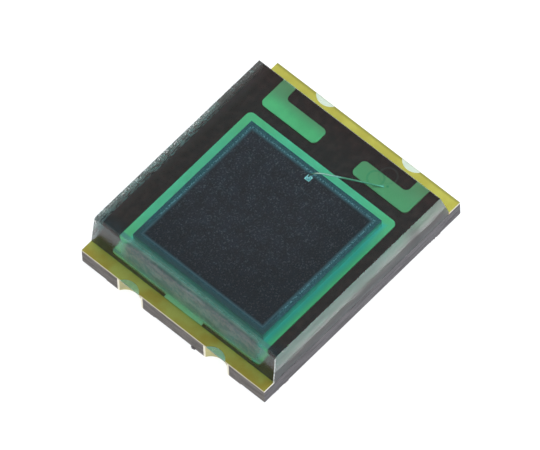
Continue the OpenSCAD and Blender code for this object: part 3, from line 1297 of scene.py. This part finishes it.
@dataclass
class Board:
    """The laminate with its tracks, half holes, films and solder lands.

    Burrs lie at the inner corner of a land and along two stretches of the right side.
    """

    bare_in: float = 0.03 * MM
    shallow_in: Pair = (0.48 * MM, 0.17 * MM)
    scuff_depth: float = 0.5
    cut_short: Pair = (0.012 * MM, 0.004 * MM)
    corner_length: float = 0.07 * MM
    rear_burr: Pair = (1.70 * MM, 1.88 * MM)
    front_burr: Pair = (-2.26 * MM, -2.14 * MM)
    burr_off: Point = (-0.010 * MM, 0.006 * MM, -0.004 * MM)

    def tool_marks(self, level: float) -> tuple[Imprint, ...]:
        """Return the rings that the bonding tool left by the right finger.

        Args:
            level: Height of the face that they are on.

        Returns:
            Two rings and a dot on the finger. The last ring reaches over onto the laminate.
        """
        return (
            Imprint((1.781 * MM, -0.825 * MM, level), radius=0.150 * MM, line=0.030 * MM, depth=0.35),
            Imprint((1.792 * MM, -1.088 * MM, level), radius=0.0, line=0.035 * MM, depth=0.60),
            Imprint((1.964 * MM, -0.949 * MM, level), radius=0.165 * MM, line=0.026 * MM, depth=0.15),
        )

    def laminate(self) -> Laminate:
        """Return the finish of the laminate.

        Returns:
            The laminate, darker under the front and the right side of the block, with a scuff by the finger.
        """
        low, high = corners("board_core")
        block = corners("encapsulant")[0]
        scuff = replace(self.tool_marks(high.z)[-1], depth=self.scuff_depth)
        return Laminate(
            "black_laminate", middle=(low.z + high.z) / 2, imprints=(scuff,),
            shallow_at=(block.x + self.shallow_in[0], block.y + self.shallow_in[1])
        )

    def covered_span(self) -> Pair:
        """Return where the block covers the tracks, from front to rear."""
        low, high = corners("encapsulant")
        return low.x + self.bare_in, high.x

    def cathode_plating(self) -> PlatedTrack:
        """Return the finish of the cathode track, with its painted shade around the chip.

        Returns:
            The plating, painted darker and greener on the right of the chip and duller in front of it, as
            painted shade from the chip.
        """
        low, high = corners("photodiode_chip")
        # Painted shade from the chip: darker and greener on its right, lighter again further right, and
        # duller in front of it.
        right_shade_edge = Zone(
            paint(0.55, 0.82, 0.36),
            (Limit(Axis.ACROSS, none_at=low.y - 0.03 * MM, full_at=low.y - 0.16 * MM),)
        )
        right_shade_limits = (
            Limit(Axis.ACROSS, none_at=low.y + 0.02 * MM, full_at=low.y - 0.02 * MM),
            Limit(Axis.ALONG, none_at=high.x + 0.05 * MM, full_at=high.x - 0.75 * MM),
        )
        ahead_shade_limits = (
            Limit(Axis.ALONG, none_at=low.x - 0.16 * MM, full_at=low.x - 0.10 * MM),
            Limit(Axis.ALONG, none_at=low.x + 0.02 * MM, full_at=low.x - 0.02 * MM),
        )
        return PlatedTrack(
            "cathode_plating", covered_span=self.covered_span(),
            die=DieShade(tuple((low + high) / 2), half=(high.x - low.x) / 2),
            zones=(
                Zone(paint(0.25, 0.66, 0.48), right_shade_limits, inner=right_shade_edge),
                Zone(paint(0.62, 0.56, 0.42), ahead_shade_limits),
            )
        )

    def anode_plating(self) -> PlatedTrack:
        """Return the finish of the anode track, with its tool marks.

        Returns:
            The plating, browner on the right finger and towards the rear.
        """
        on_right = Limit(Axis.ACROSS, none_at=0.2 * MM, full_at=-0.2 * MM)
        far = Limit(Axis.ALONG, none_at=1.72 * MM, full_at=1.98 * MM)
        return PlatedTrack(
            "anode_plating", covered_span=self.covered_span(),
            zones=(Zone(paint(0.84, 0.64, 0.29), (on_right,)), Zone(paint(0.92, 0.66, 0.32), (far,))),
            imprints=self.tool_marks(corners("anode_track")[1].z),
            covered=paint(0.90, 0.92, 0.40), covered_dim=paint(0.80, 0.80, 0.34),
            # Lighter bare colours than the cathode's, whose darker ones are painted shade.
            bare=paint(0.60, 0.59, 0.13), bare_dim=paint(0.53, 0.50, 0.10),
            side_cut=paint(0.74, 0.71, 0.60)
        )

    def dress(self) -> None:
        """Give the board's CAD nodes their finishes."""
        dress_node("board_core", self.laminate().material())
        dress_node("cathode_track", self.cathode_plating().material())
        dress_node("anode_track", self.anode_plating().material())
        end_wall = corners("board_core")[1].x
        cut_span = tuple(end_wall - short for short in self.cut_short)
        barrel = HoleBarrel("hole_barrel", cut_span=cut_span).material()
        land = SolderLand("solder_land").material()
        # The cathode films are painted darker and greener than the anode's: painted shade from the shaded
        # barrels under them.
        shaded_green = HoleFilm("shaded_green_film", thin=paint(0.46, 0.74, 0.55), thick=paint(0.31, 0.60, 0.42))
        bluish = HoleFilm("bluish_film", thin=paint(0.40, 0.74, 0.68), thick=paint(0.27, 0.60, 0.54))
        pale = HoleFilm("pale_film").material()
        films = {
            (End.CATHODE, Side.LEFT): shaded_green.material(), (End.CATHODE, Side.RIGHT): bluish.material(),
            (End.ANODE, Side.LEFT): pale, (End.ANODE, Side.RIGHT): pale
        }
        for (end, side), film in films.items():
            where = (end.name.lower(), side.name.lower())
            dress_node("{}_hole_plating_{}".format(*where), barrel)
            dress_node("{}_land_{}".format(*where), land)
            dress_node("{}_hole_film_{}".format(*where), film)

    def burr_runs(self) -> tuple[CrumbRun, ...]:
        """Return where the saw left burrs under the board.

        Returns:
            The inner corner of the right cathode land, and two stretches of the right side.
        """
        end, side, level = corners("board_core")[0] + Vector(self.burr_off)
        land = corners("cathode_land_right")[1].y
        return (
            CrumbRun(
                (end, land - self.corner_length, level), (end, land, level),
                stray=(10 * UM, 6 * UM, 2 * UM), count=16, sizes=(12 * UM, 26 * UM)
            ),
            CrumbRun(
                (self.rear_burr[0], side, level), (self.rear_burr[1], side, level),
                stray=(10 * UM, 6 * UM, 4 * UM), count=14, sizes=(6 * UM, 16 * UM)
            ),
            CrumbRun(
                (self.front_burr[0], side, level), (self.front_burr[1], side, level),
                stray=(10 * UM, 6 * UM, 4 * UM), count=8, sizes=(6 * UM, 14 * UM)
            ),
        )


@dataclass
class Chip:
    """The silicon chip on its adhesive, with its coated window and metal line."""

    pad_width: float = 0.11 * MM
    pad_in: float = 0.05 * MM
    wall_rise: Pair = (0.02 * MM, 0.03 * MM)

    def pad_place(self) -> Pair:
        """Return where the middle of the bond pad lies in plan."""
        low, high = corners("active_window")
        return high.x - self.pad_in - self.pad_width / 2, (low.y + high.y) / 2

    def dress(self) -> None:
        """Give the chip's CAD nodes their finishes."""
        dress_node("die_attach", Adhesive("silver_adhesive").material())
        low, high = corners("photodiode_chip")
        wall_span = (low.z + self.wall_rise[0], high.z + self.wall_rise[1])
        dress_node("photodiode_chip", Silicon("sawn_silicon", wall_span=wall_span).material())
        low, high = corners("active_window")
        window = WindowCoating("window_coating", middle=tuple((low + high) / 2), half=(high.x - low.x) / 2)
        dress_node("active_window", window.material())
        metal = ChipMetal("chip_metal", pad=self.pad_place(), pad_half=self.pad_width / 2)
        dress_node("anode_contact", metal.material())


@dataclass(frozen=True)
class Station:
    """One ring of the swept wire: where it is, how steep, and its half width and thickness."""

    along: float
    height: float
    slope: float
    wide: float
    thick: float


@dataclass
class BondWire:
    """The gold wire: a squashed ball on the chip, a low loop and a flat stitch on the finger."""

    start: Pair
    radius: float = 0.0155 * MM
    ball_radius: float = 0.045 * MM
    ball_height: float = 0.034 * MM
    ball_foot: float = 0.78
    ball_power: float = 0.7
    loop_rise: float = 0.26 * MM
    crest_share: float = 0.15
    fall_power: float = 1.15
    level_power: int = 8
    stitch_side: float = 0.97 * MM
    stitch_in: float = 0.12 * MM
    stitch_length: float = 0.09 * MM
    stitch_wide: float = 2.2
    stitch_thin: float = 0.3
    sides: int = 20
    ball_rings: int = 12
    rise_rings: int = 18
    fall_rings: int = 36
    stitch_rings: int = 8
    flat_from: float = 0.95
    whitened_reach: Pair = (1.92, 2.4)
    # Where along the wire, and how high, the painted highlight sits.
    highlight_share: float = 0.29
    highlight_rise: float = 0.9

    def stations(self, span: float, pad_top: float, track_top: float) -> list[Station]:
        """Work out the rings of the sweep.

        Args:
            span: Plan distance from the ball to the stitch.
            pad_top: Height of the bond pad.
            track_top: Height of the finger.

        Returns:
            The rings in order.
        """
        rings = []
        for i in range(self.ball_rings + 1):
            share = i / self.ball_rings
            bulge = math.sin(math.pi * share) ** self.ball_power
            reach = self.ball_radius * (self.ball_foot + (1 - self.ball_foot) * bulge)
            rings.append(Station(0.0, pad_top + share * self.ball_height, math.pi / 2, reach, reach))
        neck = pad_top + self.ball_height
        run = self.crest_share * span
        for i in range(self.rise_rings + 1):
            turn = math.pi / 2 * i / self.rise_rings
            slope = math.atan2(self.loop_rise * math.cos(turn), run * math.sin(turn))
            height = neck + self.loop_rise * math.sin(turn)
            rings.append(Station(run * (1 - math.cos(turn)), height, slope, self.radius, self.radius))
        crest = neck + self.loop_rise
        drop = crest - track_top - self.radius
        fall = span - run
        for i in range(1, self.fall_rings + 1):
            share = i / self.fall_rings
            steep = drop * self.fall_power * share ** (self.fall_power - 1) / fall
            slope = -math.atan(steep) * (1 - share ** self.level_power)
            height = crest - drop * share ** self.fall_power
            rings.append(Station(run + fall * share, height, slope, self.radius, self.radius))
        for i in range(1, self.stitch_rings + 1):
            share = i / self.stitch_rings
            thick = self.radius * (1 - share * (1 - self.stitch_thin))
            wide = self.radius * (1 + share * (self.stitch_wide - 1))
            rings.append(Station(span + share * self.stitch_length, track_top + thick, 0.0, wide, thick))
        return rings

    def sweep(self, start: Vector, stop: Vector, pad_top: float, track_top: float) -> Mesh:
        """Bridge the rings into one closed body.

        Args:
            start: Middle of the ball in plan.
            stop: Start of the stitch in plan.
            pad_top: Height of the bond pad.
            track_top: Height of the finger.

        Returns:
            The wire's bmesh.
        """
        heading = (stop - start).normalized()
        ahead = Vector((heading.x, heading.y, 0.0))
        across = Vector((-heading.y, heading.x, 0.0))
        mesh = bmesh.new()
        loops = []
        for ring in self.stations((stop - start).length, pad_top, track_top):
            over = Vector((0.0, 0.0, math.cos(ring.slope))) - ahead * math.sin(ring.slope)
            centre = Vector((start.x, start.y, ring.height)) + ahead * ring.along
            axes = Matrix((across * ring.wide, over * ring.thick, across.cross(over))).transposed().to_4x4()
            made = bmesh.ops.create_circle(
                mesh, segments=self.sides, radius=1.0, matrix=Matrix.Translation(centre) @ axes
            )
            loops.append({edge for vert in made["verts"] for edge in vert.link_edges})
        for first, second in zip(loops, loops[1:]):
            bmesh.ops.bridge_loops(mesh, edges=list(first | second))
        bmesh.ops.holes_fill(mesh, edges=list(loops[0] | loops[-1]), sides=0)
        bmesh.ops.recalc_face_normals(mesh, faces=mesh.faces)
        for face in mesh.faces:
            face.smooth = len(face.verts) == 4 and abs(face.normal.z) < self.flat_from
        return mesh

    def build(self) -> None:
        """Sweep the wire and let it stand for its CAD node."""
        finger_low, finger_high = corners("anode_track")
        pad_top = corners("anode_contact")[1].z
        start = Vector(self.start)
        stop = Vector((finger_low.x + self.stitch_in, -self.stitch_side))
        mesh = self.sweep(start, stop, pad_top, finger_high.z)
        middle = pad_top + self.ball_height / 2
        highlight = start.lerp(stop, self.highlight_share)
        gold = GoldWire(
            "bright_gold", ball_at=(start.x, start.y, middle),
            ball_span=tuple(reach * self.ball_radius for reach in self.whitened_reach),
            highlight_at=(highlight.x, highlight.y, middle + self.highlight_rise * self.loop_rise)
        )
        wire = finished_piece(mesh, "drawn_bond_wire", gold.material())
        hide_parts("bond_wire")


@dataclass
class ClearBlock:
    """The tinted block: moulded top and ends, sawn long sides with chipped rims, all else cast into it."""

    drafts: Pair = (0.10 * MM, 0.19 * MM)
    rounds: Pair = (0.06 * MM, 0.03 * MM)
    side_draft: float = 0.02 * MM
    sunk: float = 0.004 * MM
    shy: float = 0.001 * MM
    round_segments: int = 8
    side_facing: float = 0.9
    chamfer: float = 0.005 * MM
    chamfer_width: Pair = (0.4, 1.4)
    chip_width: Pair = (1.5, 4.0)
    chip_spacing: float = 0.03 * MM
    chip_share: float = 0.12
    chip_seed: int = 7
    band_height: float = 0.28 * MM
    haze_height: Pair = (0.02 * MM, 0.40 * MM)
    haze_reach: Pair = (0.31 * MM, 0.10 * MM)
    haze_right: float = 0.11 * MM
    rim_reach: Pair = (0.20 * MM, 0.04 * MM)
    gap_behind: float = 0.02 * MM

    def build(self) -> None:
        """Model the block as one closed body around the pieces that it holds."""
        low, high = corners("encapsulant")
        track_top = corners("cathode_track")[1].z
        mesh = bmesh.new()
        self.shape_body(mesh, low, high, track_top)
        self.round_ends(mesh, high.z, high.z - track_top)
        self.chip_rims(mesh, low.z)
        bmesh.ops.recalc_face_normals(mesh, faces=mesh.faces)
        block = finished_piece(mesh, "tinted_block", self.epoxy(low, high).material())
        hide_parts("encapsulant")

    def epoxy(self, low: Vector, high: Vector) -> TintedBlock:
        """Return the block's finish.

        Args:
            low: Lowest corner of the block.
            high: Highest corner of the block.

        Returns:
            The finish, with its haze and gloss in their places.
        """
        chip_low, chip_high = corners("photodiode_chip")
        return TintedBlock(
            "tinted_epoxy", band_from=low.z + self.band_height,
            haze_rise=tuple(low.z + rise for rise in self.haze_height),
            haze_span=tuple(low.x + reach for reach in self.haze_reach),
            haze_middle=(chip_low.y + chip_high.y) / 2 - self.haze_right,
            rim_span=tuple(high.y - reach for reach in self.rim_reach),
            gap_at=corners("cathode_track")[1].x + self.gap_behind
        )

    def shape_body(self, mesh: Mesh, low: Vector, high: Vector, track_top: float) -> None:
        """Make the drafted body from a cube, its foot sunk a little into the laminate.

        Args:
            mesh: The empty bmesh.
            low: Lowest corner of the block.
            high: Highest corner of the block.
            track_top: Level at which the drafts start.
        """
        bmesh.ops.create_cube(mesh, size=2.0)
        foot = low.z - self.sunk
        below = (track_top - foot) / (high.z - track_top)
        for vert in mesh.verts:
            front, top = vert.co.x < 0, vert.co.z > 0
            draft = self.drafts[0] if front else self.drafts[1]
            lean = draft if top else -below * draft
            inward = self.shy + (self.side_draft if top else 0.0)
            x = low.x + lean if front else high.x - lean
            y = low.y + inward if vert.co.y < 0 else high.y - inward
            vert.co = (x, y, high.z if top else foot)

    def round_ends(self, mesh: Mesh, top: float, rise: float) -> None:
        """Round the moulded rims along the two ends of the top.

        Args:
            mesh: The drafted body.
            top: Level of its top face.
            rise: Height over which the ends lean.
        """
        for radius, draft, ahead in zip(self.rounds, self.drafts, (False, True)):
            reach = radius * math.tan((math.pi / 2 - math.atan(draft / rise)) / 2)
            across = [e for e in mesh.edges if abs(e.verts[0].co.y - e.verts[1].co.y) > self.chip_spacing]
            rims = [e for e in across if all(v.co.z >= top and (v.co.x > 0) == ahead for v in e.verts)]
            outermost = max(rims, key=lambda e: abs(e.verts[0].co.x))
            bevel_edges(mesh, [outermost], reach, self.round_segments)

    def chip_rims(self, mesh: Mesh, foot: float) -> None:
        """Break the rims of the sawn sides into a fine chamfer of uneven width.

        Args:
            mesh: The rounded body.
            foot: Level under which the rims stay sharp.
        """
        mesh.normal_update()
        sides = [face for face in mesh.faces if abs(face.normal.y) > self.side_facing]
        rims = [e for face in sides for e in face.edges if max(v.co.z for v in e.verts) > foot]
        lines = [tuple(vert.co.copy() for vert in edge.verts) for edge in rims]
        for edge in rims:
            cuts = int(edge.calc_length() / self.chip_spacing)
            if cuts:
                bmesh.ops.bisect_edges(mesh, edges=[edge], cuts=cuts)
        rims = {e for face in sides for e in face.edges if max(v.co.z for v in e.verts) > foot}
        chance = random.Random(self.chip_seed)
        for vert in sorted(bevel_edges(mesh, list(rims), self.chamfer, 1), key=lambda v: tuple(v.co)):
            nearest = min((closest_on(vert.co, *line) for line in lines), key=lambda p: (p - vert.co).length)
            width = chance.uniform(*self.chamfer_width)
            if chance.random() < self.chip_share:
                width = chance.uniform(*self.chip_width)
            if vert.co.z > foot + self.chamfer:
                vert.co = nearest + (vert.co - nearest) * width

    def crumb_runs(self) -> tuple[CrumbRun, ...]:
        """Return where the saw left crumbs along the block's rims.

        Returns:
            The front right corner, the left rim and side, the right rim and side, and the front left corner.
        """
        low, high = corners("encapsulant")
        foot = corners("cathode_track")[1].z
        front, rear = low.x + self.drafts[0], high.x - self.drafts[1]
        left, right = high.y - self.side_draft, low.y + self.side_draft
        top, brow = high.z - 4 * UM, high.z - 30 * UM
        near_left, on_left, on_right = left - 28 * UM, left - 12 * UM, low.y + 8 * UM
        upper, middle = high.z - 0.20 * MM, high.z - 0.25 * MM
        return (
            CrumbRun(
                (front - 4 * UM, right, brow), (low.x, low.y, foot),
                stray=(6 * UM, 5 * UM, 0.0), count=100, sizes=(6 * UM, 15 * UM)
            ),
            CrumbRun(
                (front, near_left, top), (0.8 * MM, near_left, top),
                stray=(0.0, 28 * UM, 2 * UM), count=220, sizes=(3 * UM, 13 * UM)
            ),
            CrumbRun(
                (0.6 * MM, left, top), (rear, left, top),
                stray=(0.0, 8 * UM, 2 * UM), count=70, sizes=(3 * UM, 10 * UM)
            ),
            CrumbRun(
                (front, on_left, upper), (1.0 * MM, on_left, upper),
                stray=(0.0, 10 * UM, 190 * UM), count=320, sizes=(4 * UM, 13 * UM)
            ),
            CrumbRun(
                (0.8 * MM, on_left, upper), (rear, on_left, upper),
                stray=(0.0, 10 * UM, 190 * UM), count=60, sizes=(3 * UM, 10 * UM)
            ),
            CrumbRun(
                (front, right, top), (rear, right, top),
                stray=(0.0, 8 * UM, 3 * UM), count=24, sizes=(4 * UM, 11 * UM)
            ),
            CrumbRun(
                (front, on_right, middle), (rear, on_right, middle),
                stray=(0.0, 4 * UM, 240 * UM), count=60, sizes=(3 * UM, 9 * UM)
            ),
            CrumbRun(
                (front - 10 * UM, left - 20 * UM, high.z - 50 * UM),
                (front - 20 * UM, left - 60 * UM, high.z - 120 * UM),
                stray=(4 * UM, 20 * UM, 30 * UM), count=16, sizes=(6 * UM, 16 * UM)
            ),
        )


@dataclass
class Crumbs:
    """Small jagged crumbs strewn along a few stretches, all in one piece."""

    name: str
    slot: str
    finish: Finish
    runs: tuple[CrumbRun, ...]
    seed: int = 11
    jag: float = 0.3

    def build(self) -> None:
        """Strew the crumbs."""
        chance = random.Random(self.seed)
        mesh = bmesh.new()
        for run in self.runs:
            start, stop = Vector(run.start), Vector(run.stop)
            for _ in range(run.count):
                stray = Vector(tuple(reach * chance.uniform(-1.0, 1.0) for reach in run.stray))
                spot = start.lerp(stop, chance.random()) + stray
                self.strew(mesh, chance, spot, chance.uniform(*run.sizes))
        finished_piece(mesh, self.name, self.finish.material())

    def strew(self, mesh: Mesh, chance: random.Random, spot: Vector, size: float) -> None:
        """Add one jagged crumb.

        Args:
            mesh: The bmesh of all crumbs.
            chance: The source of chance.
            spot: Middle of the crumb.
            size: Its radius.
        """
        made = bmesh.ops.create_icosphere(mesh, subdivisions=1, radius=size, matrix=Matrix.Translation(spot))
        for vert in made["verts"]:
            vert.co = spot + (vert.co - spot) * chance.uniform(1.0 - self.jag, 1.0)


def bevel_edges(
    mesh: Mesh, edges: list[bmesh.types.BMEdge], reach: float, segments: int
) -> list[bmesh.types.BMVert]:
    """Bevel some edges of a bmesh.

    Args:
        mesh: The bmesh.
        edges: The edges.
        reach: How far the bevel goes from each edge.
        segments: Steps across it.

    Returns:
        The new vertices.
    """
    made = bmesh.ops.bevel(
        mesh, geom=edges, offset=reach, offset_type="OFFSET", segments=segments,
        profile=0.5, affect="EDGES", material=-1, clamp_overlap=True
    )
    return made["verts"]


def closest_on(point: Vector, start: Vector, stop: Vector) -> Vector:
    """Return the point of a straight stretch that is closest to another point.

    Args:
        point: The other point.
        start: One end of the stretch.
        stop: Its other end.

    Returns:
        The closest point.
    """
    line = stop - start
    share = max(0.0, min(1.0, (point - start).dot(line) / line.length_squared))
    return start + line * share


def main() -> None:
    """Build the scene in order."""
    logging.basicConfig(level=logging.INFO, format="%(name)s: %(message)s")
    bpy.context.scene.view_settings.view_transform = "Standard"
    PhotoCamera().place()
    Studio().build()
    board = Board()
    board.dress()
    chip = Chip()
    chip.dress()
    BondWire(start=chip.pad_place()).build()
    block = ClearBlock()
    block.build()
    Crumbs("torn_edge_crumbs", "tinted_block", TornCrumb("torn_epoxy"), block.crumb_runs()).build()
    burr = TornCrumb("torn_laminate", light=paint(0.26, 0.24, 0.25), dark=paint(0.10, 0.09, 0.10))
    Crumbs("saw_burrs", "laminate", burr, board.burr_runs()).build()


if __name__ == "__main__":
    main()
